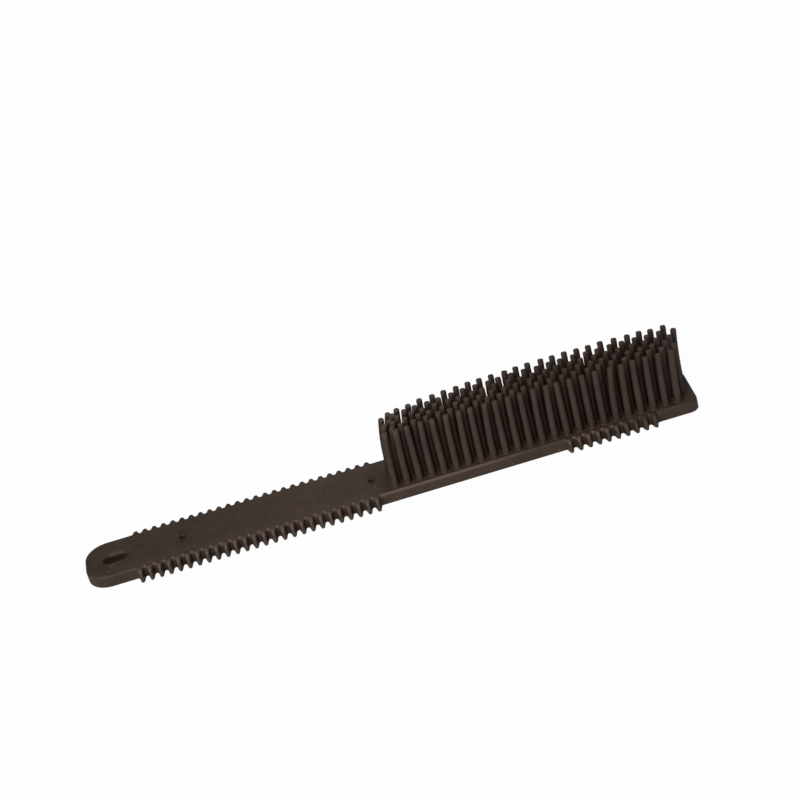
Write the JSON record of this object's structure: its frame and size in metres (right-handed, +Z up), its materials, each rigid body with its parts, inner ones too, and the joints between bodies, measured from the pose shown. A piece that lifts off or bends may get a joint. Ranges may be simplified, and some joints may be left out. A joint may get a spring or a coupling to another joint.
{
  "type": "pet hair removal brush",
  "caption": "Straight rubber brush bar: toothed grip with a hang slot at one end, a block of tall staggered rubber fingers and short edge teeth at the other.",
  "frame": {"origin": "under the middle of the whole brush, on the surface that its flat back lies on", "axes": "+X from the hang slot towards the tip of the head, +Z up along the fingers, +Y away from the viewer of the picture"},
  "size_m": [0.292, 0.0384, 0.034],
  "materials": {
    "rubber": "satin moulded",
    "core_steel": "plain rolled strip"
  },
  "bodies": {
    "root": {"tail_end": "rubber", "grip": "rubber", "head_plate": "rubber", "finger_row_1": "rubber", "finger_row_2": "rubber", "finger_row_3": "rubber", "finger_row_4": "rubber", "finger_row_5": "rubber", "finger_row_6": "rubber", "steel_core": "core_steel"}
  },
  "joints": []
}
